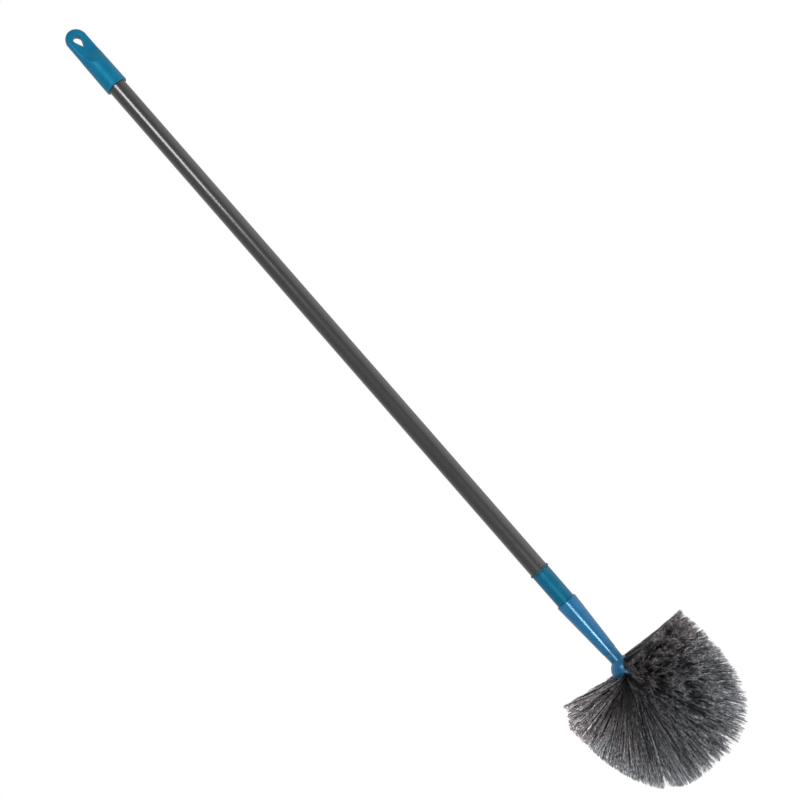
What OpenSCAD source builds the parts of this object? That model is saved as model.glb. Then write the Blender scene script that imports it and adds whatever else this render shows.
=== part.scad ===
// Cobweb brush: a domed head of bristle tufts on a twist-lock telescopic pole.
// The brush hangs by its eye, along Z, with the pole pushed together.
// The origin is the centre of the eye's round part, and the eye runs through along Y.

/* [Pole] */
// Outside diameter of the outer tube
tube_d = 22; // [20:0.5:26]
// Wall of the outer tube
tube_wall = 0.7; // [0.5:0.1:1]
// Length of outer tube between the cap and the mouth bush
tube_shown = 730; // [720:1:1100]
// Wall of the inner tube
inner_wall = 0.6; // [0.4:0.1:1]
// How much less than the shown tube the inner pole slides out
travel_short = 130; // [100:5:430]
// Length of inner tube that stays inside, past the bush, when slid out
overlap = 60; // [40:5:80]

/* [Hang cap] */
// Wall of the cap around the tube, at its open end
cap_wall = 2.6; // [2:0.05:4]
// How much smaller the cap's radius is at its round end
cap_draft = 0.65; // [0:0.05:1]
// Length of the cap from its open end to the centre of the eye
cap_len = 71; // [70:0.5:120]
// Height of the cap above the centre of the eye
cap_above = 14.5; // [14:0.5:22]
// Length of tube inside the cap
cap_grip = 30; // [20:1:31]
// Thickness of the cap's flat part, through the eye
flat_t = 10; // [7:0.5:11]
// Distance from the centre of the eye down to the end of the flat part
flat_drop = 15; // [13.5:0.5:18]
// Radius of the curve that runs out from the flat to the round grip
flat_run_r = 26; // [22:1:28]
// Diameter of the eye's round part
eye_d = 11; // [9:0.5:12]
// Height of the eye, from its round top to its point
eye_h = 17; // [15:0.5:18]
// Half of the angle that the eye's point takes from its round part
eye_notch = 42; // [30:1:44]
// Diameter of the hollow above the tube end
core_d = 9; // [6:0.5:9]

/* [Mouth bush] */
// Height of the bush outside the tube
bush_h = 3; // [2.5:0.5:12]
// How far the bush's lip stands out from the tube
bush_lip = 1.1; // [0.8:0.1:2]
// Thickness of the bush under the tube's end
bush_floor = 1.3; // [1:0.1:3]
// Wall of the bush's sleeve inside the tube
bush_wall = 0.6; // [0.5:0.1:1]
// Length of the sleeve inside the tube
bush_sleeve = 26; // [15:1:40]
// Depth of the two dimples that hold the bush in the tube
dimple_depth = 0.35; // [0.1:0.05:0.4]
// Height of the dimples above the bush's lip
dimple_up = 7; // [4:0.5:12]

/* [Twist lock] */
// Length of the spindle's plug inside the inner tube
plug_len = 25; // [15:1:40]
// Thickness of the spindle's flange
flange_t = 2; // [1:0.5:4]
// Diameter of the spindle's shank
shank_d = 8.4; // [6:0.2:9]
// Diameter of the spindle's wedge at its wide end
wedge_d = 12.4; // [10:0.2:13]
// Height of the wedge
wedge_h = 12; // [8:1:16]
// Height of the collet
collet_h = 22; // [20:1:34]
// Width of the collet's slots
slot_w = 2; // [1:0.5:3]
// Diameter of the spindle's head
head_d = 16; // [14:0.5:17]
// Thickness of the spindle's head
head_t = 3; // [2:0.5:5]

/* [Threaded tip] */
// Length of the tip's collar
collar_h = 42; // [36:0.5:60]
// How much larger the collar's radius is than the outer tube's
collar_proud = 0.05; // [0:0.05:0.3]
// Length of inner tube inside the collar
collar_grip = 33; // [20:1:33]
// Diameter over the thread
thread_d = 18.2; // [17:0.2:19]
// Depth of the thread
thread_depth = 1.3; // [1:0.1:1.6]
// Rise of the thread in one turn
thread_pitch = 4.2; // [3.6:0.2:5]
// Length of the threaded spigot
thread_len = 28; // [22:1:28]
// Bore through the threaded spigot
tip_bore = 11; // [8:0.5:12]

/* [Stem] */
// Wall of the stem at its mouth
stem_wall = 3.3; // [2.8:0.1:5]
// Length of the stem
stem_len = 72.5; // [66:0.5:120]
// Diameter of the stem at its lower end
stem_low_d = 17; // [15:0.2:19]
// Space past the end of the thread
socket_spare = 2; // [1:0.5:4]

/* [Hub] */
// Diameter of the ball
ball_d = 32; // [30:0.5:40]
// Length of the neck above the ball
neck_len = 13; // [10:0.5:20]
// Diameter of the neck where it meets the stem
neck_d = 16.2; // [14:0.2:17]
// Diameter of the neck where it meets the ball
neck_low_d = 15; // [12:0.2:16]
// Diameter of the spigot inside the stem
spigot_d = 11; // [8:0.5:11]
// Length of the spigot inside the stem
spigot_len = 22; // [10:1:30]

/* [Bristles] */
// Radius of the bristle dome
dome_r = 91; // [80:1:120]
// Length of the dome from the middle of the ball to its lowest bristles
dome_len = 144; // [110:1:170]
// Squareness of the dome: 2 is an ellipse, and more is boxier
dome_power = 2.7; // [2:0.1:4]
// How far the bristles lean forward on the side they have lain on, in degrees
set_lean = 5; // [0:1:30]
// Direction of that side around the pole, in degrees
set_side = 110; // [0:5:355]
// Diameter of a tuft's hole
hole_d = 3.2; // [2.8:0.1:3.4]
// Depth of a tuft's hole
hole_depth = 5.6; // [4.5:0.1:5.8]
// Strands in a tuft
strands = 10; // [7:1:11]
// Half of the angle over which a tuft's tips spread
spread = 9.5; // [5:0.5:10]
// Width of a strand where it leaves the hub
strand_root = 0.5; // [0.4:0.05:0.6]
// Width of a strand at its tip
strand_tip = 2.2; // [1:0.1:3]

/* [Clearances] */
// Gap around a part that slides or turns
slide_gap = 0.3; // [0.2:0.05:0.3]
// Gap between the threads
thread_gap = 0.3; // [0.2:0.05:0.3]
// Gap between the collar and the bush with the pole pushed together
stop_gap = 0.5; // [0.4:0.1:2]

/* [Hidden] */
$fn = 64;
eps = 0.01;
soft_edge = 0.8;
core_wall = 1.5;

// Heights, from the eye down
eye_low_z = eye_d / 2 - eye_h;
core_run = flat_run_r + flat_t / 2 - core_d / 2 - core_wall;
core_top_z = -flat_drop - sqrt(pow(flat_run_r, 2) - pow(core_run, 2));
cap_z = -cap_len;
bush_top_z = cap_z - tube_shown;
bush_z = bush_top_z - bush_h;
tube_end_z = bush_z + bush_floor;
collar_top_z = bush_z - stop_gap;
shoulder_z = collar_top_z - collar_h;
stem_low_z = shoulder_z - stem_len;
ball_top_z = stem_low_z - neck_len;
neck_sink = ball_d / 2 - sqrt(pow(ball_d / 2, 2) - pow(neck_low_d / 2, 2));
ball_z = ball_top_z - ball_d / 2 + neck_sink;
inner_low_z = collar_top_z - collar_grip;
travel = tube_shown - travel_short;
inner_top_z = bush_z + bush_sleeve + travel + overlap;

// Radii that follow from the tubes
tube_r = tube_d / 2;
tube_bore_r = tube_r - tube_wall;
inner_r = tube_bore_r - bush_wall - slide_gap;
inner_bore_r = inner_r - inner_wall;
collar_r = tube_r + collar_proud;
cap_r = tube_r + cap_wall;
cap_top_r = cap_r - cap_draft;
thread_r = thread_d / 2;
thread_core_r = thread_r - thread_depth;
socket_r = thread_r + thread_gap;
stem_top_r = socket_r + stem_wall;

// Thread ridges: width at their root and at their crest
ridge_root = 0.5 * thread_pitch;
ridge_crest = ridge_root - 0.6 * thread_depth;
groove_ridge_root = thread_pitch - ridge_crest - 2 * thread_gap;
groove_ridge_crest = thread_pitch - ridge_root - 2 * thread_gap;
ridge_sink = 0.4;
steps_per_turn = 14;

// Rings of tufts: how far each leans from straight down, and its number of tufts
ring_lean = [0, 22, 43, 64, 84];
ring_count = [1, 6, 10, 14, 14];
tufts = [
    for (ring = [0 : len(ring_lean) - 1])
        for (k = [0 : ring_count[ring] - 1])
            [ring_lean[ring], (k + 0.5 * (ring % 2)) * 360 / ring_count[ring]]
];
golden_turn = 137.508;
root_fill = 0.75;
root_proud = 0.9;
tip_scatter = 4;
anchor_t = 0.5;
anchor_h = 1.4;

function tuft_name(i) = str("bristle_tuft_", i < 9 ? "0" : "", i + 1);

// Unit vector that leans away from straight down towards a side
function direction(lean, side) = [sin(lean) * cos(side), sin(lean) * sin(side), -cos(lean)];

// Lean of a strand after lying: full on the set side, and fading to none on the other
function lain(lean, side) = lean - set_lean * lean / 90 * pow((1 + cos(side - set_side)) / 2, 2);

// Distance from the middle of the ball to the dome's surface
function dome_reach(lean) = pow(
    pow(abs(sin(lean)) / dome_r, dome_power) + pow(abs(cos(lean)) / dome_len, dome_power),
    -1 / dome_power
);

// Places of a tuft's strands on a disc of radius 1, spread evenly along a spiral
function on_disc(j) = sqrt((j + 0.5) / strands) * [cos(j * golden_turn), sin(j * golden_turn)];

// Corners of a triangle of the given width around a point, square to a line
function triangle(point, side_way, up_way, width) = [
    for (a = [0, 120, 240]) point + width / 2 * (cos(a) * side_way + sin(a) * up_way)
];

// Section of a helical ridge, at a turn of angle a
function ridge_section(a, inside_r, outside_r, inside_w, outside_w, z) = [
    for (corner = [[inside_r, -inside_w], [outside_r, -outside_w],
                   [outside_r, outside_w], [inside_r, inside_w]])
        [corner[0] * cos(a), corner[0] * sin(a), z + corner[1] / 2]
];

module helical_ridge(z, turns, inside_r, outside_r, inside_w, outside_w) {
    steps = floor(turns * steps_per_turn);
    points = [
        for (k = [0 : steps])
            each ridge_section(360 * k / steps_per_turn, inside_r, outside_r,
                               inside_w, outside_w, z + thread_pitch * k / steps_per_turn)
    ];
    last = 4 * steps;
    faces = concat(
        [[0, 2, 1], [0, 3, 2]],
        [[last, last + 1, last + 2], [last, last + 2, last + 3]],
        [for (k = [0 : steps - 1]) for (c = [0 : 3]) let (d = (c + 1) % 4)
            [4 * k + c, 4 * k + d, 4 * k + 4 + c]],
        [for (k = [0 : steps - 1]) for (c = [0 : 3]) let (d = (c + 1) % 4)
            [4 * k + d, 4 * k + 4 + d, 4 * k + 4 + c]]
    );
    polyhedron(points, faces);
}

// The eye: a round hole that runs down into a point
module eye() {
    notch_x = eye_d / 2 * sin(eye_notch);
    notch_z = -eye_d / 2 * cos(eye_notch);
    rotate([90, 0, 0]) translate([0, 0, -cap_r]) {
        cylinder(d = eye_d, h = 2 * cap_r);
        linear_extrude(2 * cap_r)
            polygon([[0, 0], [-notch_x, notch_z], [0, eye_low_z], [notch_x, notch_z]]);
    }
}

// One of the two scoops that flatten the cap around the eye, drawn in Y and Z
module flat_scoop() {
    translate([flat_t / 2, -flat_drop]) square(2 * cap_len);
    translate([flat_t / 2 + flat_run_r, -flat_drop]) circle(flat_run_r, $fn = 128);
}

module hang_cap() {
    round_z = cap_above - cap_top_r;
    core_z = cap_z + cap_grip;
    color("#0a6e96")
    difference() {
        rotate_extrude() polygon(concat(
            [[0, cap_z], [cap_r - soft_edge / 2, cap_z], [cap_r, cap_z + soft_edge]],
            [for (a = [0 : 7.5 : 90]) [cap_top_r * cos(a), round_z + cap_top_r * sin(a)]]
        ));
        for (side = [0, 180]) rotate([0, 0, side]) rotate([90, 0, 90])
            translate([0, 0, -cap_r - 1]) linear_extrude(2 * cap_r + 2) flat_scoop();
        translate([0, 0, cap_z - eps]) cylinder(r = tube_r, h = cap_grip + eps);
        translate([0, 0, core_z - eps]) cylinder(d = core_d, h = core_top_z - core_z + eps);
        eye();
    }
}

module outer_tube() {
    length = cap_z + cap_grip - tube_end_z;
    dimple_r = 3;
    color("#4b4a4c")
    translate([0, 0, tube_end_z]) difference() {
        cylinder(r = tube_r, h = length);
        translate([0, 0, -eps]) cylinder(r = tube_bore_r, h = length + 2 * eps);
        for (side = [-1, 1])
            translate([0, side * (tube_r + dimple_r - dimple_depth), bush_top_z - tube_end_z + dimple_up])
                sphere(dimple_r);
    }
}

module mouth_bush() {
    outside_r = tube_r + bush_lip;
    guide_r = tube_bore_r - bush_wall;
    lip_edge = 0.5;
    color("#23303c")
    rotate_extrude() polygon([
        [guide_r, bush_z],
        [outside_r - lip_edge, bush_z],
        [outside_r, bush_z + lip_edge],
        [outside_r, bush_top_z - lip_edge],
        [outside_r - lip_edge, bush_top_z],
        [tube_r, bush_top_z],
        [tube_r, tube_end_z],
        [tube_bore_r, tube_end_z],
        [tube_bore_r, bush_z + bush_sleeve],
        [guide_r, bush_z + bush_sleeve]
    ]);
}

module inner_tube() {
    color("#8d8f92")
    translate([0, 0, inner_low_z]) difference() {
        cylinder(r = inner_r, h = inner_top_z - inner_low_z);
        translate([0, 0, -eps])
            cylinder(r = inner_bore_r, h = inner_top_z - inner_low_z + 2 * eps);
    }
}

// The lock's heights, from the top of the inner tube
flange_z = inner_top_z + flange_t;
collet_z = flange_z + slide_gap;
wedge_z = collet_z + (collet_h - wedge_h) / 2;
spindle_head_z = collet_z + collet_h + 2 * slide_gap;

module lock_spindle() {
    color("#d8d4c8")
    rotate_extrude() polygon([
        [0, inner_top_z - plug_len],
        [inner_bore_r, inner_top_z - plug_len],
        [inner_bore_r, inner_top_z],
        [inner_r, inner_top_z],
        [inner_r, flange_z],
        [shank_d / 2, flange_z],
        [shank_d / 2, wedge_z],
        [wedge_d / 2, wedge_z + wedge_h],
        [shank_d / 2, wedge_z + wedge_h + 1],
        [shank_d / 2, spindle_head_z],
        [head_d / 2, spindle_head_z],
        [head_d / 2, spindle_head_z + head_t],
        [0, spindle_head_z + head_t]
    ]);
}

module lock_collet() {
    outside_r = tube_bore_r - slide_gap;
    ring_h = collet_h / 5;
    color("#2f3033")
    difference() {
        rotate_extrude() polygon([
            [shank_d / 2 + slide_gap, collet_z],
            [outside_r - soft_edge, collet_z],
            [outside_r, collet_z + soft_edge],
            [outside_r, collet_z + collet_h - soft_edge],
            [outside_r - soft_edge, collet_z + collet_h],
            [wedge_d / 2 + slide_gap, collet_z + collet_h],
            [wedge_d / 2 + slide_gap, wedge_z + wedge_h - slide_gap],
            [shank_d / 2 + slide_gap, wedge_z - slide_gap]
        ]);
        for (a = [0, 120, 240]) rotate([0, 0, a])
            translate([0, -slot_w / 2, collet_z + ring_h]) cube([tube_r, slot_w, collet_h]);
    }
}

module threaded_tip() {
    lead = 1.5;
    turns = (thread_len - 2 * lead - ridge_root) / thread_pitch;
    color("#0a6e96")
    difference() {
        union() {
            rotate_extrude() polygon([
                [0, shoulder_z - thread_len],
                [thread_core_r - lead / 2, shoulder_z - thread_len],
                [thread_core_r, shoulder_z - thread_len + lead],
                [thread_core_r, shoulder_z],
                [collar_r - 0.15, shoulder_z],
                [collar_r, collar_top_z - soft_edge / 2],
                [collar_r - soft_edge / 2, collar_top_z],
                [0, collar_top_z]
            ]);
            helical_ridge(shoulder_z - thread_len + lead + ridge_root / 2, turns,
                          thread_core_r - ridge_sink, thread_r, ridge_root, ridge_crest);
        }
        translate([0, 0, inner_low_z]) cylinder(r = inner_r, h = collar_grip + eps);
        translate([0, 0, shoulder_z - thread_len - eps])
            cylinder(d = tip_bore, h = thread_len + collar_h);
    }
}

module socket_stem() {
    mouth_edge = 0.7;
    depth = thread_len + socket_spare;
    lead = 1.5;
    turns = (thread_len - 2 * lead - ridge_root) / thread_pitch - 0.5;
    color("#1f6fae")
    union() {
        difference() {
            rotate_extrude() polygon([
                [0, stem_low_z],
                [stem_low_d / 2, stem_low_z],
                [stem_top_r, shoulder_z - 2 * mouth_edge],
                [stem_top_r - mouth_edge, shoulder_z],
                [0, shoulder_z]
            ]);
            translate([0, 0, shoulder_z - depth]) cylinder(r = socket_r, h = depth + eps);
            translate([0, 0, stem_low_z - eps]) cylinder(d = spigot_d, h = stem_len);
        }
        helical_ridge(shoulder_z - thread_len + lead + (ridge_root + thread_pitch) / 2, turns,
                      thread_core_r + thread_gap, socket_r + ridge_sink,
                      groove_ridge_crest, groove_ridge_root);
    }
}

// Places children at the middle of the ball, turned so that Z points out along a tuft's hole
module along_tuft(i) {
    translate([0, 0, ball_z]) rotate([180, 0, 0]) rotate([0, tufts[i][0], -tufts[i][1]]) children();
}

module hub() {
    color("#1c5f96")
    difference() {
        union() {
            translate([0, 0, ball_z]) sphere(d = ball_d);
            translate([0, 0, ball_top_z - neck_sink / 2])
                cylinder(d1 = neck_low_d, d2 = neck_d, h = neck_len + neck_sink / 2);
            translate([0, 0, stem_low_z - eps]) cylinder(d = spigot_d, h = spigot_len + eps);
        }
        for (i = [0 : len(tufts) - 1]) along_tuft(i)
            translate([0, 0, ball_d / 2 - hole_depth]) cylinder(d = hole_d, h = hole_depth + 1);
    }
}

module anchor_plates() {
    color("#b9bcc0")
    for (i = [0 : len(tufts) - 1]) along_tuft(i)
        translate([-hole_d / 2, -anchor_t / 2, ball_d / 2 - hole_depth])
            cube([hole_d, anchor_t, anchor_h]);
}

// A strand runs from the tuft's root to the dome. No two cross, because the places of the
// tips are the places of the roots, spread wider.
module strand(i, j) {
    lean = tufts[i][0];
    side = tufts[i][1];
    place = on_disc(j);
    out_way = direction(lean, side);
    lean_way = direction(lean + 90, side);
    side_way = cross(out_way, lean_way);
    root = ball_d / 2 * out_way + root_proud / 2 * out_way
        + root_fill * hole_d / 2 * (place[0] * lean_way + place[1] * side_way);
    aim = out_way + tan(spread) * (place[0] * lean_way + place[1] * side_way);
    aim_lean = acos(-aim[2] / norm(aim));
    aim_side = atan2(aim[1], aim[0]);
    new_lean = lain(aim_lean, aim_side);
    scatter = rands(-tip_scatter, 0, 1, 100 * i + j)[0];
    tip = (dome_reach(new_lean) + scatter) * direction(new_lean, aim_side);
    points = concat(
        triangle(root, lean_way, side_way, strand_root),
        triangle(tip, lean_way, side_way, strand_tip)
    );
    translate([0, 0, ball_z]) polyhedron(points, [
        [0, 1, 2], [3, 5, 4],
        [0, 3, 1], [1, 3, 4], [1, 4, 2], [2, 4, 5], [2, 5, 0], [0, 5, 3]
    ]);
}

module bristle_tuft(i) {
    color("#5d5c60")
    union() {
        along_tuft(i) difference() {
            translate([0, 0, ball_d / 2 - hole_depth])
                cylinder(d = hole_d, h = hole_depth + root_proud);
            translate([-hole_d, -anchor_t / 2, ball_d / 2 - hole_depth - eps])
                cube([2 * hole_d, anchor_t, anchor_h + eps]);
        }
        for (j = [0 : strands - 1]) strand(i, j);
    }
}

hang_cap();
outer_tube();
mouth_bush();
inner_tube();
lock_spindle();
lock_collet();
threaded_tip();
socket_stem();
hub();
anchor_plates();
for (i = [0 : len(tufts) - 1])
    bristle_tuft(i);
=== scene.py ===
"""The looks of a cobweb brush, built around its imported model. Everything is in metres, with Z up."""
import math

import bpy
import numpy as np
from mathutils import Matrix, Vector


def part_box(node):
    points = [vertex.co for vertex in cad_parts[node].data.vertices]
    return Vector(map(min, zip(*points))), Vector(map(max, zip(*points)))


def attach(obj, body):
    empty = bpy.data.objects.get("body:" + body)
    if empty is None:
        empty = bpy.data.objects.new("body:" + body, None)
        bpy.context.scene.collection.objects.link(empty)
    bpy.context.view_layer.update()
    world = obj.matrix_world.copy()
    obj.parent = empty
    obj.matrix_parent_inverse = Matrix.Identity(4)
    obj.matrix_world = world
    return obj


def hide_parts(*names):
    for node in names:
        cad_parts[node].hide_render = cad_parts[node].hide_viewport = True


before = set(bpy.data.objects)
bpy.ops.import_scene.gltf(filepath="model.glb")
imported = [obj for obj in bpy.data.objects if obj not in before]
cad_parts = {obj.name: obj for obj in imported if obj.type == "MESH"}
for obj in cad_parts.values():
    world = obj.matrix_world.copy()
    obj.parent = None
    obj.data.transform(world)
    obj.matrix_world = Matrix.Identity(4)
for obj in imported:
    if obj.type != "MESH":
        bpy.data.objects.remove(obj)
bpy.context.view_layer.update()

SEED = 7
MM = 0.001

# Camera: where it stands round the pole, how far off, and how it is rolled
CAMERA_SIDE = math.radians(-24)
CAMERA_RISE = math.radians(4.5)
CAMERA_DISTANCE = 1.9
CAMERA_ROLL = math.radians(-41.12)
CAMERA_TARGET_Z = -0.5565
CAMERA_TARGET_RIGHT = 0.0080
FOCAL_OVER_WIDTH = 1690 / 800
SENSOR_WIDTH = 36

# Directions round the pole, as seen by the camera, and the same ones for arrays of points
AWAY = Vector((-math.sin(CAMERA_SIDE), math.cos(CAMERA_SIDE), 0))
RIGHT = Vector((math.cos(CAMERA_SIDE), math.sin(CAMERA_SIDE), 0))
UP = Vector((0, 0, 1))
AWAY_ROW = np.array(AWAY)
RIGHT_ROW = np.array(RIGHT)
UP_ROW = np.array(UP)

# Stage
FLOOR_Z = -1.75
FLOOR_HALF = 6
STUDIO_FRONT = 0.35
STUDIO_BACK = 1.0
STUDIO_BLEND = 0.6

# Colours of the plastics, and the tints that they give to what they reflect
GRIP_TEAL = (0.0, 0.080, 0.153)
TIP_TEAL = (0.0, 0.052, 0.105)
# The bush's colour is partly its own dark petrol plastic and partly painted shade
BUSH_PETROL_AND_SHADE = (0.006, 0.030, 0.046)
STEM_BLUE = (0.004, 0.079, 0.180)
HUB_BLUE_DARK = (0.004, 0.062, 0.145)
HUB_BLUE_LIGHT = (0.012, 0.100, 0.205)
# Painted shade on the hub, where the bristles crowd the ball
HUB_PAINTED_SHADE = (0.014, 0.013, 0.014, 1)
NATURAL_NYLON = (0.66, 0.63, 0.55)
BLACK_NYLON = (0.015, 0.015, 0.016)
TEAL_SHEEN = (0.12, 0.72, 1.0, 1)
BLUE_SHEEN = (0.55, 0.85, 1.0, 1)
WHITE = (1, 1, 1, 1)

# Hang cap
CAP_LOW, CAP_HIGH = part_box("hang_cap")
TUBE_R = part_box("outer_tube")[1].x
CAP_LOW_R = CAP_HIGH.x
CAP_TOP_R = CAP_LOW_R - 0.65 * MM
CAP_GRIP = 30 * MM
CAP_ROUND = 2.0 * MM
CAP_MOUTH_ROUND = 0.7 * MM
CAP_CELL = 0.6 * MM
FLAT_T = 10 * MM
FLAT_DROP = 15 * MM
FLAT_RUN_R = 26 * MM
FLAT_RUN_ROUND = 3 * MM
EYE_R = 5.5 * MM
EYE_H = 17 * MM
EYE_POINT_R = 0.6 * MM
EYE_ROUND = 1.4 * MM
LEAST_SLOPE = 0.2
PULLS = 3

# Dome of bristles: its size, and how much fuller it is towards the lower right
DOME_R = 91 * MM
DOME_LEN = 142 * MM
DOME_POWER = 2.7
FULLER_SIDE = 0.13

# Strands as read from the CAD: a corner within ROOT_PROUD of the ball belongs to the root, one beyond
# TIPS_BEYOND ball radii to a strand's tip, and STRAND_FAN spreads the strands a little wider
ROOT_PROUD = 2 * MM
TIPS_BEYOND = 3
TIP_GROUP = 3 * MM
STRAND_FAN = 0.12

# Locks: how they spread, gather into clumps and differ in reach
LOCKS_PER_STRAND = 15
LOCK_SPREAD = 0.055
LOCK_SHORT = 0.014
CLUMP_SPREAD = 0.03
CLUMP_SHORT = 0.04
GATHERED = 0.1
GATHERED_WOOLLY = 0.4

# Wear: the rows from REAR_LEAN up lean to an edge, and those left of the parting are combed flat.
# Leans are in degrees from straight down, and slopes are rises towards the dome's outer edge.
REAR_LEAN = 70
EDGE_LEAN = 89
EDGE_SLOPE_LEFT = 0.23
EDGE_SLOPE_RIGHT = 0.04
VIEW_SLOPE = 0.122
REAR_SHORT = 0.13
REAR_SHORT_FROM = -2
REAR_SHORT_FULL = 8
REAR_SHORT_LEFT = 0.6
PARTING = 5 * MM
PARTING_BLEND = 0.10
COMBED_FLAT = 0.72
COMBED_FACING = 0.3
HEAD_TILT = math.radians(3.0)

# Slits in the dome's outline: the angle of each in degrees, and how hard it pushes its sides apart
SLITS = ((-15.1, 0.9), (-3.6, 0.6), (4.4, 0.35), (21.8, 1.4))
SLIT_FROM = 0.78
SLIT_FULL = 0.83
SLIT_EDGE = 0.15
SLIT_REACH = 5

# Painted light and shade on the locks: painted light on the left and in its rear row, painted shade at the
# front and in one fan
LIT = 1.05
LIT_LEFT = 0.2
LIT_REAR = 0.5
LIT_REAR_FROM = -20
DIM_FRONT = 0.60
DIM_FAN = 0.28
DIM_FAN_MIDDLE = -14
DIM_FAN_WIDTH = 14

# Filaments
FILAMENTS_PER_LOCK = 3
FILAMENT_STEPS = 9
FILAMENT_ROOT_W = 0.46 * MM
FILAMENT_TIP_W = 0.38 * MM
FILAMENT_POINT = 0.6
LEAST_WIDTH = 0.8
MOST_WIDTH = 1.25
ROOTS_R = 2.2 * MM
TUFT_SPREAD = 0.17
ROOT_SCATTER = 0.3
ROOT_CLIMB = 1.5
ROOT_SINK = 0.45
ROOT_OVERLAP = 0.3
UPPER_ROWS_FROM = -0.4
WARM_FROM = -0.5
LEAST_WARM = 0.1
BEND_AT = 0.35
BEND_ALONG_HOLE = 0.6
BROKEN_SHARE = 0.06
BROKEN_SHORT = 0.25
UNEVEN_SHORT = 0.008
TIP_SCATTER = 0.45 * MM
CRIMP = 0.16
CRIMP_WOOLLY = 1.5
CRIMP_RISE = 1.5
OWN_CRIMP = 0.4
LOCK_TONE = 0.8
ALONG = np.linspace(0, 1, FILAMENT_STEPS + 1)


# Camera


def add_camera():
    """The photograph's view of the hanging brush."""
    forward = (math.cos(CAMERA_RISE) * AWAY + math.sin(CAMERA_RISE) * UP).normalized()
    up = (UP - UP.dot(forward) * forward).normalized()
    across = math.cos(CAMERA_ROLL) * RIGHT + math.sin(CAMERA_ROLL) * up
    upward = math.cos(CAMERA_ROLL) * up - math.sin(CAMERA_ROLL) * RIGHT
    target = Vector((0, 0, CAMERA_TARGET_Z)) + CAMERA_TARGET_RIGHT * RIGHT
    place = target - CAMERA_DISTANCE * forward
    data = bpy.data.cameras.new("camera")
    data.sensor_width = SENSOR_WIDTH
    data.lens = SENSOR_WIDTH * FOCAL_OVER_WIDTH
    camera = bpy.data.objects.new("camera", data)
    bpy.context.scene.collection.objects.link(camera)
    turn = Matrix((across, upward, -forward)).transposed().to_4x4()
    camera.matrix_world = Matrix.Translation(place) @ turn
    bpy.context.scene.camera = camera


# Light and stage


def softbox(name, place, aim_z, width, height, radiance):
    """An even area light that faces a point on the pole's axis and doesn't show itself."""
    data = bpy.data.lights.new(name, "AREA")
    data.shape = "RECTANGLE"
    data.size = width
    data.size_y = height
    data.energy = math.pi * width * height * radiance
    light = bpy.data.objects.new(name, data)
    bpy.context.scene.collection.objects.link(light)
    back = (place - aim_z * UP).normalized()
    across = UP.cross(back).normalized()
    turn = Matrix((across, back.cross(across), back)).transposed().to_4x4()
    light.matrix_world = Matrix.Translation(place) @ turn
    light.visible_camera = False


def round_pole(turn, distance, height):
    """A point round the pole: turn is counted from the camera's side, towards the image's lower left."""
    angle = math.radians(turn)
    return distance * (-math.cos(angle) * AWAY - math.sin(angle) * RIGHT) + height * UP


def add_lights():
    """Two strips that draw the highlights along the pole and the stem, and a wide box on the right."""
    softbox("upper_strip", round_pole(turn=9, distance=1.5, height=0.41), aim_z=0.1,
            width=0.52, height=0.58, radiance=22)
    softbox("lower_strip", round_pole(turn=3, distance=1.5, height=-1.27), aim_z=-1.0,
            width=0.54, height=0.28, radiance=33)
    softbox("side_box", round_pole(turn=-80, distance=1.9, height=-0.5), aim_z=-0.5,
            width=2.6, height=2.2, radiance=1.1)


def add_world():
    """White behind everything, and a studio that is bright behind the brush and dim in front of it."""
    world = bpy.data.worlds.new("studio")
    bpy.context.scene.world = world
    world.use_nodes = True
    nodes, links = world.node_tree.nodes, world.node_tree.links
    nodes.clear()
    direction = nodes.new("ShaderNodeTexCoord")
    facing = nodes.new("ShaderNodeVectorMath")
    facing.operation = "DOT_PRODUCT"
    facing.inputs[1].default_value = AWAY
    links.new(direction.outputs["Generated"], facing.inputs[0])
    level = nodes.new("ShaderNodeMapRange")
    level.interpolation_type = "SMOOTHSTEP"
    level.inputs["From Min"].default_value = -STUDIO_BLEND
    level.inputs["From Max"].default_value = STUDIO_BLEND
    level.inputs["To Min"].default_value = STUDIO_FRONT
    level.inputs["To Max"].default_value = STUDIO_BACK
    links.new(facing.outputs["Value"], level.inputs["Value"])
    studio = nodes.new("ShaderNodeBackground")
    links.new(level.outputs["Result"], studio.inputs["Strength"])
    white = nodes.new("ShaderNodeBackground")
    for background in (studio, white):
        background.inputs["Color"].default_value = WHITE
    path = nodes.new("ShaderNodeLightPath")
    pick = nodes.new("ShaderNodeMixShader")
    links.new(path.outputs["Is Camera Ray"], pick.inputs["Fac"])
    links.new(studio.outputs["Background"], pick.inputs[1])
    links.new(white.outputs["Background"], pick.inputs[2])
    output = nodes.new("ShaderNodeOutputWorld")
    links.new(pick.outputs["Shader"], output.inputs["Surface"])


def add_floor():
    """A white floor below the brush, also where its pole is pulled out."""
    corners = [(x * FLOOR_HALF, y * FLOOR_HALF, FLOOR_Z) for x, y in ((-1, -1), (1, -1), (1, 1), (-1, 1))]
    data = bpy.data.meshes.new("floor")
    data.from_pydata(corners, [], [(0, 1, 2, 3)])
    floor = bpy.data.objects.new("floor", data)
    bpy.context.scene.collection.objects.link(floor)
    paint = Paint("floor_paint", 0.9)
    paint.shader.inputs["Base Color"].default_value = (0.9, 0.9, 0.9, 1)
    paint.shader.inputs["Emission Color"].default_value = WHITE
    paint.shader.inputs["Emission Strength"].default_value = 0.5
    data.materials.append(paint.material)


# Materials


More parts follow.
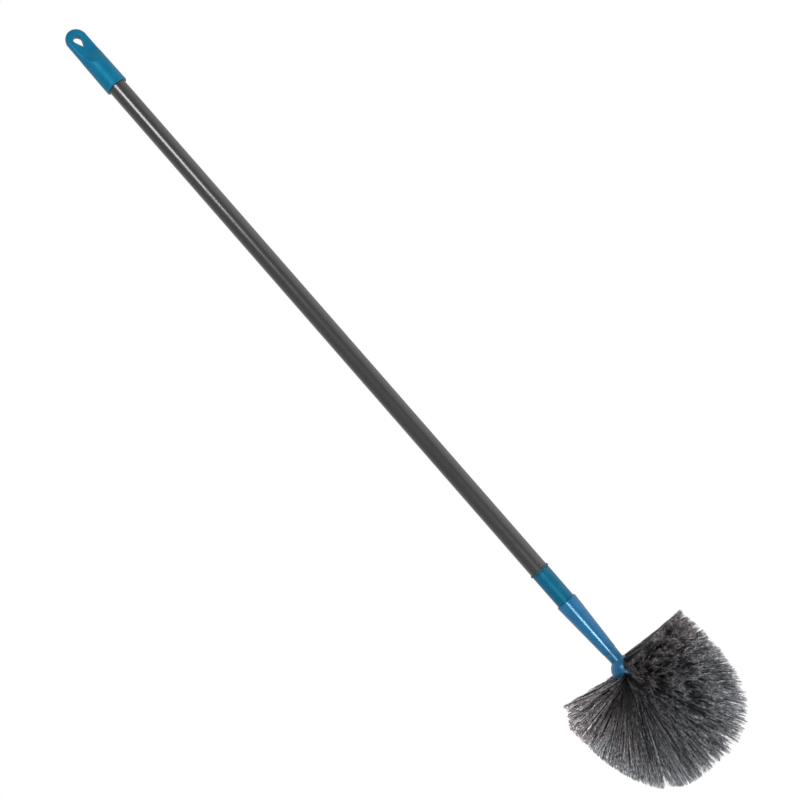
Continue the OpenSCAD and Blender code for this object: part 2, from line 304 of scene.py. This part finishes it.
class Paint:
    """A node material under construction: one Principled shader, and helpers that add nodes to it."""

    def __init__(self, name, roughness, **sockets):
        self.material = bpy.data.materials.new(name)
        self.material.use_nodes = True
        self.nodes = self.material.node_tree.nodes
        self.links = self.material.node_tree.links
        self.shader = self.nodes["Principled BSDF"]
        self.shader.inputs["Roughness"].default_value = roughness
        for socket, value in sockets.items():
            self.shader.inputs[socket.replace("_", " ")].default_value = value
        self.place = self.nodes.new("ShaderNodeTexCoord").outputs["Object"]

    def connect(self, value, socket):
        """Links value to a socket if it is a socket itself, and otherwise sets it."""
        if isinstance(value, bpy.types.NodeSocket):
            self.links.new(value, socket)
        else:
            socket.default_value = value

    def stretched(self, x, y, z):
        """The place on the object, scaled along each axis."""
        node = self.nodes.new("ShaderNodeMapping")
        node.inputs["Scale"].default_value = (x, y, z)
        self.links.new(self.place, node.inputs["Vector"])
        return node.outputs["Vector"]

    def noise(self, size, detail=3, rough=0.5, place=None):
        """Noise with features about size metres across."""
        node = self.nodes.new("ShaderNodeTexNoise")
        node.inputs["Scale"].default_value = 1 / size
        node.inputs["Detail"].default_value = detail
        node.inputs["Roughness"].default_value = rough
        self.links.new(place or self.place, node.inputs["Vector"])
        return node.outputs["Fac"]

    def attribute(self, name):
        """A number that the mesh holds for each point."""
        node = self.nodes.new("ShaderNodeAttribute")
        node.attribute_name = name
        return node.outputs["Fac"]

    def ramp(self, value, *stops):
        """value turned into a colour, or a grey level where a stop's colour is one number."""
        node = self.nodes.new("ShaderNodeValToRGB")
        elements = node.color_ramp.elements
        while len(elements) < len(stops):
            elements.new(0.5)
        for element, (position, colour) in zip(elements, stops):
            element.position = position
            element.color = (colour,) * 3 + (1,) if isinstance(colour, (int, float)) else (*colour, 1)
        self.links.new(value, node.inputs["Fac"])
        return node.outputs["Color"]

    def mix(self, kind, amount, first, second):
        """Two colours mixed. Each argument but the first is a value or a socket."""
        node = self.nodes.new("ShaderNodeMix")
        node.data_type = "RGBA"
        node.blend_type = kind
        sockets = {socket.name: socket for socket in node.inputs if socket.enabled}
        self.connect(amount, sockets["Factor"])
        self.connect(first, sockets["A"])
        self.connect(second, sockets["B"])
        return next(socket for socket in node.outputs if socket.enabled)

    def math(self, kind, first, second):
        """A sum, product or the like of two numbers, each a value or a socket."""
        node = self.nodes.new("ShaderNodeMath")
        node.operation = kind
        self.connect(first, node.inputs[0])
        self.connect(second, node.inputs[1])
        return node.outputs["Value"]

    def towards(self, way):
        """How far along a direction the place on the object is, in metres."""
        node = self.nodes.new("ShaderNodeVectorMath")
        node.operation = "DOT_PRODUCT"
        node.inputs[1].default_value = way
        self.links.new(self.place, node.inputs[0])
        return node.outputs["Value"]

    def level(self, value, low, high):
        """0 below low, rising to 1 at high."""
        node = self.nodes.new("ShaderNodeMapRange")
        node.inputs["From Min"].default_value = low
        node.inputs["From Max"].default_value = high
        self.links.new(value, node.inputs["Value"])
        return node.outputs["Result"]

    def softened(self, radius):
        """The surface's normal, with edges rounded within radius."""
        bevel = self.nodes.new("ShaderNodeBevel")
        bevel.samples = 4
        bevel.inputs["Radius"].default_value = radius
        return bevel.outputs["Normal"]

    def edges(self, radius, gain):
        """0 on open surfaces, rising towards 1 where the surface turns within radius."""
        flat = self.nodes.new("ShaderNodeNewGeometry")
        between = self.nodes.new("ShaderNodeVectorMath")
        between.operation = "DOT_PRODUCT"
        self.links.new(self.softened(radius), between.inputs[0])
        self.links.new(flat.outputs["Normal"], between.inputs[1])
        return self.math("MULTIPLY", self.math("SUBTRACT", 1.0, between.outputs["Value"]), gain)

    def colour(self, socket):
        self.links.new(socket, self.shader.inputs["Base Color"])

    def rough(self, socket):
        self.links.new(socket, self.shader.inputs["Roughness"])

    def bump(self, height, distance, strength=0.5, soften=0.0):
        """Adds relief of the given distance in metres, and softens edges within that radius."""
        node = self.nodes.new("ShaderNodeBump")
        node.inputs["Distance"].default_value = distance
        node.inputs["Strength"].default_value = strength
        self.links.new(height, node.inputs["Height"])
        if soften:
            self.links.new(self.softened(soften), node.inputs["Normal"])
        self.links.new(node.outputs["Normal"], self.shader.inputs["Normal"])


def shaded(colour, factor, lift=0.0):
    """A colour made darker or lighter."""
    return tuple(min(1, factor * part + lift) for part in colour)


def moulded(name, colour, roughness, grain, soften=0.0, **sockets):
    """Moulded plastic: cloudy pigment, a fine grain, and edges rubbed a little paler."""
    paint = Paint(name, roughness, **sockets)
    dark, light = shaded(colour, 0.90), shaded(colour, 1.08, 0.004)
    cloud = paint.ramp(paint.noise(14 * MM), (0.3, dark), (0.7, light))
    patches = paint.ramp(paint.noise(3 * MM), (0.4, 0.0), (0.65, 1.0))
    worn = paint.math("MULTIPLY", paint.edges(0.8 * MM, 1.6), patches)
    paint.colour(paint.mix("MIX", worn, cloud, (*shaded(colour, 1.25, 0.004), 1)))
    paint.rough(paint.ramp(paint.noise(9 * MM, detail=5), (0.3, roughness - 0.05), (0.7, roughness + 0.06)))
    paint.bump(paint.noise(grain, detail=1), 0.006 * MM, soften=soften)
    return paint.material


def painted_tube():
    """Satin grey paint on steel, with a faint orange peel and fine marks along the tube."""
    paint = Paint("pole_paint", 0.26)
    cloud = paint.ramp(paint.noise(20 * MM, place=paint.stretched(1, 1, 0.15)),
                       (0.3, (0.022, 0.0205, 0.021)), (0.7, (0.027, 0.0255, 0.026)))
    marks = paint.ramp(paint.noise(1.2 * MM, detail=4, place=paint.stretched(1, 1, 0.02)),
                       (0.66, 0.0), (0.78, 0.35))
    paint.colour(paint.mix("MIX", marks, cloud, (0.06, 0.06, 0.062, 1)))
    paint.rough(paint.ramp(paint.noise(12 * MM), (0.3, 0.22), (0.7, 0.25)))
    paint.bump(paint.noise(4 * MM, detail=1), 0.003 * MM)
    return paint.material


def hub_plastic():
    """The stem's blue plastic, with painted shade where the bristles crowd the ball: below and on its right.
    """
    paint = Paint("hub_plastic", 0.3, Specular_Tint=BLUE_SHEEN)
    cloudy_blue = paint.ramp(paint.noise(6 * MM), (0.35, HUB_BLUE_DARK), (0.65, HUB_BLUE_LIGHT))
    low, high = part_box("hub")
    middle = low.z + high.x
    ragged_edge = paint.math("MULTIPLY", paint.noise(3 * MM), 6 * MM)
    height = paint.math("ADD", paint.towards(UP), ragged_edge)
    leftward = paint.math("SUBTRACT", ragged_edge, paint.towards(RIGHT))
    above = paint.level(height, middle - 1 * MM, middle + 3 * MM)
    beside = paint.level(leftward, -1 * MM, 2 * MM)
    on_neck = paint.level(height, middle + 11 * MM, middle + 14 * MM)
    # Painted shade where the ball is low or on its right, but none on the neck
    unshaded = paint.math("MAXIMUM", paint.math("MINIMUM", above, beside), on_neck)
    paint.colour(paint.mix("MIX", unshaded, HUB_PAINTED_SHADE, cloudy_blue))
    paint.rough(paint.ramp(paint.noise(9 * MM, detail=5), (0.3, 0.25), (0.7, 0.36)))
    paint.bump(paint.noise(3 * MM, detail=1), 0.006 * MM)
    return paint.material


def coated_steel():
    """Light grey satin coat of the inner tube, with marks where it slides."""
    paint = Paint("inner_coat", 0.3, Metallic=0.6)
    cloud = paint.ramp(paint.noise(18 * MM), (0.3, (0.29, 0.295, 0.30)), (0.7, (0.34, 0.345, 0.35)))
    rubs = paint.ramp(paint.noise(1.5 * MM, detail=4, place=paint.stretched(1, 1, 0.02)),
                      (0.58, 0.0), (0.72, 0.6))
    paint.colour(paint.mix("MIX", rubs, cloud, (0.19, 0.19, 0.195, 1)))
    paint.rough(paint.ramp(paint.noise(5 * MM), (0.3, 0.24), (0.7, 0.38)))
    paint.bump(paint.noise(1 * MM), 0.01 * MM)
    return paint.material


def wire_steel():
    """Plain bright wire of the anchors."""
    paint = Paint("anchor_wire", 0.35, Metallic=1.0)
    paint.colour(paint.ramp(paint.noise(1 * MM), (0.3, (0.55, 0.56, 0.58)), (0.7, (0.70, 0.71, 0.73))))
    paint.bump(paint.noise(0.3 * MM), 0.01 * MM)
    return paint.material


def bristle():
    """Filaments: painted shade near the roots, grey along their length and pale at their flagged tips."""
    paint = Paint("bristle_filament", 0.5)
    along = paint.attribute("along")
    tone_and_light = paint.attribute("tone_and_light")
    # Painted shade: the filaments darken towards their roots
    grey = paint.ramp(along, (0.0, (0.014, 0.014, 0.015)), (0.15, (0.055, 0.057, 0.061)),
                      (0.40, (0.100, 0.104, 0.112)), (0.85, (0.108, 0.113, 0.122)),
                      (1.0, (0.28, 0.29, 0.31)))
    brownish = paint.mix("MULTIPLY", paint.attribute("warm"), grey, (1.0, 0.72, 0.66, 1))
    # The strands' colour is scaled by their random tone and by the locks' painted light and shade
    strands = paint.ramp(tone_and_light, (0.0, 0.06), (0.45, 0.45), (0.75, 1.6), (1.0, 5.0))
    even_at_tips = paint.mix("MIX", paint.ramp(along, (0.7, 0.0), (1.0, 0.55)), strands, WHITE)
    colour = paint.mix("MULTIPLY", 1.0, brownish, even_at_tips)
    patchy = paint.ramp(paint.noise(3 * MM, detail=4, rough=0.7), (0.42, 0.15), (0.60, 1.7))
    colour = paint.mix("MULTIPLY", 1.0, colour, patchy)
    clumps = paint.ramp(paint.noise(9 * MM, rough=0.6), (0.40, 0.45), (0.58, 1.55))
    on_right = paint.level(paint.towards(RIGHT), 0, 25 * MM)
    paint.colour(paint.mix("MULTIPLY", on_right, colour, clumps))
    paint.rough(paint.ramp(tone_and_light, (0.0, 0.62), (1.0, 0.42)))
    paint.bump(paint.noise(0.8 * MM), 0.02 * MM, strength=0.3)
    return paint.material


# Meshes


def add_mesh(name, points, faces, material):
    """A smooth-shaded mesh piece. It still has to ride a body."""
    data = bpy.data.meshes.new(name)
    data.from_pydata(points.tolist(), [], faces.tolist())
    data.polygons.foreach_set("use_smooth", [True] * len(data.polygons))
    data.update()
    piece = bpy.data.objects.new(name, data)
    bpy.context.scene.collection.objects.link(piece)
    data.materials.append(material)
    return piece


def unit(vectors):
    return vectors / np.linalg.norm(vectors, axis=-1, keepdims=True)


def rising(value, low, high):
    """0 below low, rising evenly to 1 at high."""
    return np.clip((value - low) / (high - low), 0, 1)


def surface_net(field, low, high, step):
    """Points and quads of the surface where field is zero, from a grid whose cells hold one point each."""
    counts = np.ceil((high - low) / step).astype(int) + 1
    grid = low + step * np.stack(np.meshgrid(*[np.arange(n) for n in counts], indexing="ij"), axis=-1)
    value = field(grid)
    cells = tuple(counts)
    total = np.zeros(cells + (3,))
    number = np.zeros(cells)
    quads = []
    for axis in range(3):
        one, two = np.eye(3, dtype=int)[[(axis + 1) % 3, (axis + 2) % 3]]
        ahead = np.roll(value, -1, axis)
        start = np.argwhere((value < 0) != (ahead < 0))
        start = start[(start.min(1) > 0) & (start[:, axis] < counts[axis] - 1)]
        here, there = value[tuple(start.T)], ahead[tuple(start.T)]
        point = grid[tuple(start.T)]
        point[:, axis] += step * here / (here - there)
        around = np.stack([start, start - one, start - one - two, start - two], axis=1)
        for corner in range(4):
            np.add.at(total, tuple(around[:, corner].T), point)
            np.add.at(number, tuple(around[:, corner].T), 1)
        around[here > 0] = around[here > 0][:, ::-1]
        quads.append(around)
    used = np.argwhere(number > 0)
    index = np.full(cells, -1)
    index[tuple(used.T)] = np.arange(len(used))
    points = total[tuple(used.T)] / number[tuple(used.T)][:, None]
    for _ in range(PULLS):
        points = pulled_on(field, points, 0.05 * step)
    return points, index[tuple(np.moveaxis(np.concatenate(quads), -1, 0))]


def pulled_on(field, points, nudge):
    """Points moved along the field's slope on to its surface."""
    slope = np.stack([
        (field(points + nudge * way) - field(points - nudge * way)) / (2 * nudge) for way in np.eye(3)
    ], axis=-1)
    return points - (field(points) / np.maximum((slope ** 2).sum(-1), LEAST_SLOPE))[..., None] * slope


def rounded_max(first, second, radius):
    """Keeps what is inside both fields, with the edge between them rounded."""
    over = np.hypot(np.maximum(first + radius, 0), np.maximum(second + radius, 0))
    return np.minimum(np.maximum(first, second), -radius) + over


def square_to(way):
    """Two unit vectors square to way."""
    one = np.cross(way, (0.0, 0.0, 1.0) if abs(way[2]) < 0.9 else (1.0, 0.0, 0.0))
    one /= np.linalg.norm(one)
    return one, np.cross(way, one)


def swept(paths, widths):
    """Three-sided tubes along many paths at once: points and faces."""
    count, rings = paths.shape[:2]
    along = unit(np.gradient(paths, axis=1))
    guide = np.where(np.abs(along[..., 2:]) < 0.9, (0.0, 0.0, 1.0), (1.0, 0.0, 0.0))
    one = unit(np.cross(along, guide))
    two = np.cross(along, one)
    corners = [paths + widths[..., None] / 2 * (math.cos(a) * one + math.sin(a) * two)
               for a in (0, math.tau / 3, 2 * math.tau / 3)]
    points = np.stack(corners, axis=2).reshape(-1, 3)
    ring = np.arange(rings - 1)[:, None] * 3
    corner = np.arange(3)
    after = (corner + 1) % 3
    quads = np.stack([ring + corner, ring + after, ring + 3 + after, ring + 3 + corner], axis=-1)
    quads = quads.reshape(1, -1, 4) + (np.arange(count) * rings * 3)[:, None, None]
    return points, quads.reshape(-1, 4)


# Hang cap


def cap_field(p):
    """Distance outside the cap: a tapered round grip, flattened towards its eye, over the tube."""
    x, y, z = p[..., 0], p[..., 1], p[..., 2]
    out = np.hypot(x, y)
    mouth_z, top_z = CAP_LOW.z, CAP_HIGH.z
    round_z = top_z - CAP_TOP_R
    grip = out - (CAP_LOW_R + rising(z, mouth_z, round_z) * (CAP_TOP_R - CAP_LOW_R))
    body = np.where(z < round_z, grip, np.hypot(out, z - round_z) - CAP_TOP_R)
    run = FLAT_RUN_R - np.hypot(np.abs(y) - FLAT_T / 2 - FLAT_RUN_R, z + FLAT_DROP)
    flats = np.where(z > -FLAT_DROP, np.abs(y) - FLAT_T / 2, run)
    down_run = rising(-z, 0.5 * FLAT_DROP, 1.5 * FLAT_DROP)
    whole = rounded_max(body, flats, CAP_ROUND + (FLAT_RUN_ROUND - CAP_ROUND) * down_run)
    whole = rounded_max(whole, mouth_z - z, CAP_MOUTH_ROUND)
    whole = np.maximum(whole, -np.maximum(out - TUBE_R, z - mouth_z - CAP_GRIP))
    return rounded_max(whole, -eye_field(x, z), EYE_ROUND)


def eye_field(x, z):
    """Distance outside the teardrop: a circle and a small one below it, in one taut outline."""
    drop = EYE_H - EYE_R - EYE_POINT_R
    slant = (EYE_R - EYE_POINT_R) / drop
    run = math.sqrt(1 - slant ** 2)
    x, down = np.abs(x), -z
    where = run * down - slant * x
    side = run * x + slant * down - EYE_R
    return np.where(where < 0, np.hypot(x, down) - EYE_R,
                    np.where(where > run * drop, np.hypot(x, down - drop) - EYE_POINT_R, side))


def add_hang_cap(material):
    margin = np.full(3, 2 * CAP_CELL)
    points, quads = surface_net(cap_field, np.array(CAP_LOW) - margin, np.array(CAP_HIGH) + margin, CAP_CELL)
    cap = add_mesh("hang_cap_shell", points, quads, material)
    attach(cap, "pole")
    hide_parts("hang_cap")


# Strands of the CAD tufts


def node_points(name):
    """A CAD node's own corners, each once."""
    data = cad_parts[name].data
    points = np.empty(3 * len(data.vertices))
    data.vertices.foreach_get("co", points)
    return np.unique(np.round(points.reshape(-1, 3), 6), axis=0)


def strand_tips(points):
    """The middle of each small group of corners at the strands' ends."""
    tips = []
    left = points
    while len(left):
        near = np.linalg.norm(left - left[0], axis=1) < TIP_GROUP
        tips.append(left[near].mean(0))
        left = left[~near]
    return np.array(tips)


def tuft_ways(name, centre, ball_r):
    """Unit vectors from the middle of the ball: along the tuft's hole, and to each of its strands' tips."""
    corners = node_points(name) - centre
    reach = np.linalg.norm(corners, axis=1)
    axis = unit(corners[reach < ball_r + ROOT_PROUD].mean(0))
    strand_way = unit(strand_tips(corners[reach > TIPS_BEYOND * ball_r]))
    return axis, unit(strand_way + STRAND_FAN * (strand_way - axis))


# Dome and wear


def dome_reach(ways):
    """Distance from the middle of the ball to the dome's surface, along unit vectors."""
    across = np.hypot(ways[..., 0], ways[..., 1]) / DOME_R
    down = np.abs(ways[..., 2]) / DOME_LEN
    fuller = 1 + FULLER_SIDE * np.clip(ways @ RIGHT_ROW, 0, 1) * np.clip(-ways[..., 2], 0, 1)
    return fuller * (across ** DOME_POWER + down ** DOME_POWER) ** (-1 / DOME_POWER)


def woolly(ways):
    """How woolly the bristles are: 1 on the side that faces the camera, right of the parting."""
    return rising(-ways @ AWAY_ROW, -1 / 2, 1 / 2) * rising(ways @ RIGHT_ROW, -1 / 12, 1 / 12)


def combed(ways):
    """Unit vectors after wear: the rear rows lean to one edge, and those left of the parting lie flat."""
    facing, left = -ways @ AWAY_ROW, -ways @ RIGHT_ROW
    flat = np.hypot(ways[:, 0], ways[:, 1])
    lean = np.degrees(np.arctan2(flat, -ways[:, 2]))
    outward = np.where(left > 0, EDGE_SLOPE_LEFT, EDGE_SLOPE_RIGHT) * np.abs(left)
    sideways = VIEW_SLOPE * np.where(left > 0, np.minimum(facing, 0), facing)
    edge = 90 + np.degrees(np.arctan((outward + sideways) / flat))
    raised = REAR_LEAN + (edge - REAR_LEAN) * rising(lean, REAR_LEAN, EDGE_LEAN)
    new_lean = np.radians(np.where(lean > REAR_LEAN, raised, lean))
    turned = ways * (np.sin(new_lean) / flat)[:, None]
    turned[:, 2] = -np.cos(new_lean)
    parting = PARTING / DOME_R
    flattened = rising(left, parting, parting + PARTING_BLEND) * rising(facing, 0, COMBED_FACING)
    return unit(turned + (COMBED_FLAT * flattened * facing)[:, None] * AWAY_ROW)


def seen_from_camera(points):
    """Each point's distance to the left, down and away from the camera."""
    return -points @ RIGHT_ROW, -points[..., 2], points @ AWAY_ROW


def placed(left, down, away):
    """Points at these distances to the left, down and away from the camera."""
    return away[..., None] * AWAY_ROW - left[..., None] * RIGHT_ROW - down[..., None] * UP_ROW


def tilted(ways):
    """Unit vectors turned to the right, as the head hangs askew."""
    left, down, away = seen_from_camera(ways)
    new_left = math.cos(HEAD_TILT) * left - math.sin(HEAD_TILT) * down
    new_down = math.cos(HEAD_TILT) * down + math.sin(HEAD_TILT) * left
    return placed(new_left, new_down, away)


def parted(paths):
    """Points moved sideways, off the lines of the slits in the dome's outline."""
    left, down, away = seen_from_camera(paths)
    out = np.hypot(left, down)
    angle = np.degrees(np.arctan2(left, down))
    flat_ways = unit(np.stack([left, np.zeros_like(left), -down], axis=-1))
    depth = rising(out / dome_reach(flat_ways), SLIT_FROM, SLIT_FULL)
    for slit, push in SLITS:
        off = angle - slit
        angle = angle + depth * push * np.tanh(off / SLIT_EDGE) * np.exp(-(off / SLIT_REACH) ** 2)
    turned = np.radians(angle)
    return placed(out * np.sin(turned), out * np.cos(turned), away)


def brightness(ways, left, rise):
    """How light the locks look, as painted light and shade. The dim fan is a little right of the middle."""
    facing = np.clip(-ways @ AWAY_ROW, 0, 1)
    leftward = np.clip(left, 0, 1)
    lit = LIT + LIT_LEFT * leftward ** 2 - DIM_FRONT * facing ** 1.5
    lit = lit + LIT_REAR * rising(rise, LIT_REAR_FROM, 0) * leftward
    fan = np.degrees(np.arctan2(left, -ways[:, 2]))
    return lit * (1 - DIM_FAN * np.exp(-((fan - DIM_FAN_MIDDLE) / DIM_FAN_WIDTH) ** 2))


def worn_locks(strand_way, rng):
    """For each lock of a tuft: its strand, how woolly it is, its way and reach, and how light it looks."""
    strand = np.repeat(np.arange(len(strand_way)), LOCKS_PER_STRAND)
    way = unit(strand_way[strand] + rng.normal(0, LOCK_SPREAD, (len(strand), 3)))
    fuzzy = woolly(way)
    clump_way = unit(strand_way + rng.normal(0, CLUMP_SPREAD, strand_way.shape))
    clump_short = np.abs(rng.normal(0, CLUMP_SHORT, len(strand_way)))
    gathered = (GATHERED + GATHERED_WOOLLY * fuzzy)[:, None]
    way = combed(unit(way + gathered * (clump_way[strand] - way)))
    shorter = np.abs(rng.normal(0, LOCK_SHORT, len(strand))) + fuzzy * clump_short[strand]
    left = -way @ RIGHT_ROW
    rise = np.degrees(np.arcsin(np.clip(way[:, 2], -1, 1)))
    in_rear = rising(rise, REAR_SHORT_FROM, REAR_SHORT_FULL)
    shorter = shorter + REAR_SHORT * in_rear * rising(left, 0, REAR_SHORT_LEFT)
    reach = dome_reach(way) * (1 - shorter)
    way = tilted(way)
    return strand, fuzzy, way, reach, brightness(way, left, rise)


# Filaments


def filament_roots(axis, strand_way, ball_r, rng):
    """Where filaments leave the ball. Those of the upper rows climb it on the right and sink on the left."""
    place = (strand_way - axis) / TUFT_SPREAD + rng.normal(0, ROOT_SCATTER, strand_way.shape)
    right, facing = axis @ RIGHT_ROW, -axis @ AWAY_ROW
    climb = ROOT_CLIMB * np.clip(ROOT_OVERLAP + right, 0, 1) * rng.uniform(0, 1, (len(strand_way), 1))
    in_front = np.clip(ROOT_OVERLAP + 1.5 * facing, 0, 1)
    sink = ROOT_SINK * np.clip(ROOT_OVERLAP - right, 0, 1) * in_front
    upward = rising(axis[2], UPPER_ROWS_FROM, 0) * (climb - sink) * UP_ROW
    return ball_r * unit(axis + upward + ROOTS_R / ball_r * place)


def filament_tips(way, reach, rng):
    """Where filaments end: near their lock's reach, but for a few that are broken off."""
    count = len(way)
    broken = rng.uniform(0, 1, count) < BROKEN_SHARE
    kept = 1 - BROKEN_SHORT * broken * rng.uniform(0, 1, count)
    length = reach * kept * (1 - np.abs(rng.normal(0, UNEVEN_SHORT, count)))
    return length[:, None] * way + rng.normal(0, TIP_SCATTER, (count, 3))


def filament_paths(roots, tips, axis):
    """Curves that leave the ball near the direction of the tuft's hole and run out to their tips."""
    span = np.linalg.norm(tips - roots, axis=1)[:, None]
    start_way = unit(BEND_ALONG_HOLE * axis + (1 - BEND_ALONG_HOLE) * (tips - roots) / span)
    bend = roots + BEND_AT * span * start_way
    t = ALONG[None, :, None]
    return (1 - t) ** 2 * roots[:, None] + 2 * t * (1 - t) * bend[:, None] + t ** 2 * tips[:, None]


def crimped(paths, lock, fuzzy, axis, rng):
    """Paths with small kinks, mostly shared within a lock, and stronger where the bristles are woolly."""
    shared = rng.normal(0, 1, (len(fuzzy), len(ALONG), 2))
    kink = shared[lock] + rng.normal(0, OWN_CRIMP, (len(lock), len(ALONG), 2))
    size = (CRIMP + CRIMP_WOOLLY * fuzzy[lock][:, None, None]) * MM * ALONG[None, :, None] ** CRIMP_RISE
    side, lift = square_to(axis)
    return paths + size * (kink[..., :1] * side + kink[..., 1:] * lift)


def filament_widths(count, rng):
    """The width of each filament at each step, with a finer point at its tip."""
    taper = np.linspace(FILAMENT_ROOT_W, FILAMENT_TIP_W, len(ALONG))
    taper[-1] *= FILAMENT_POINT
    return taper * rng.uniform(LEAST_WIDTH, MOST_WIDTH, (count, 1))


def add_tuft(name, centre, ball_r, material, rng):
    """One tuft: for each strand of the CAD node, a few locks of fine filaments that fan out to the dome."""
    axis, strand_way = tuft_ways(name, centre, ball_r)
    strand, fuzzy, way, reach, lit = worn_locks(strand_way, rng)
    lock_tone = rng.uniform(0, 1, len(strand))
    lock = np.repeat(np.arange(len(strand)), FILAMENTS_PER_LOCK)
    count = len(lock)
    roots = filament_roots(axis, strand_way[strand[lock]], ball_r, rng)
    tips = filament_tips(way[lock], reach[lock], rng)
    paths = parted(crimped(filament_paths(roots, tips, axis), lock, fuzzy, axis, rng))
    points, quads = swept(paths, filament_widths(count, rng))
    piece = add_mesh(name.replace("bristle_tuft", "filament_tuft"), points + centre, quads, material)
    # Each filament's random tone, times its lock's painted light and shade
    tone_and_light = lit[lock] * (LOCK_TONE * lock_tone[lock] + (1 - LOCK_TONE) * rng.uniform(0, 1, count))
    warm = rising(axis[2], WARM_FROM, 0) * rng.uniform(LEAST_WARM, 1, count)
    set_numbers(piece, "along", np.tile(ALONG, count))
    set_numbers(piece, "tone_and_light", np.repeat(tone_and_light, len(ALONG)))
    set_numbers(piece, "warm", np.repeat(warm, len(ALONG)))
    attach(piece, "inner_pole")
    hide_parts(name)


def set_numbers(piece, name, ring_values):
    """Gives a filament mesh a number for each point, from one for each ring of three."""
    attribute = piece.data.attributes.new(name, "FLOAT", "POINT")
    attribute.data.foreach_set("value", np.repeat(ring_values, 3))


def add_bristles(material):
    low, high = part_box("hub")
    ball_r = high.x
    centre = np.array((0, 0, low.z + ball_r))
    rng = np.random.default_rng(SEED)
    for name in sorted(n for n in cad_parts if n.startswith("bristle_tuft_")):
        add_tuft(name, centre, ball_r, material, rng)


# Assembly


def finish_cad_nodes():
    """Gives each CAD node that stays its own material."""
    looks = {
        "outer_tube": painted_tube(),
        "mouth_bush": moulded("bush_plastic", BUSH_PETROL_AND_SHADE, 0.5, 0.5 * MM, soften=0.3 * MM,
                              Specular_Tint=TEAL_SHEEN),
        "inner_tube": coated_steel(),
        "lock_spindle": moulded("natural_nylon", NATURAL_NYLON, 0.4, 0.6 * MM, soften=0.3 * MM),
        "lock_collet": moulded("black_nylon", BLACK_NYLON, 0.45, 0.5 * MM, soften=0.3 * MM),
        "threaded_tip": moulded("tip_plastic", TIP_TEAL, 0.42, 2 * MM, soften=0.4 * MM,
                                Specular_Tint=TEAL_SHEEN),
        "socket_stem": moulded("stem_plastic", STEM_BLUE, 0.16, 3 * MM,
                               Specular_Tint=BLUE_SHEEN, Specular_IOR_Level=0.33),
        "hub": hub_plastic(),
        "anchor_plates": wire_steel(),
    }
    for name, material in looks.items():
        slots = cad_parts[name].material_slots
        slots[0].link = "OBJECT"
        slots[0].material = material


add_camera()
add_world()
add_lights()
add_floor()
finish_cad_nodes()
add_hang_cap(moulded("grip_plastic", GRIP_TEAL, 0.5, 0.5 * MM, Specular_Tint=TEAL_SHEEN))
add_bristles(bristle())

bpy.context.scene.view_settings.view_transform = "Standard"
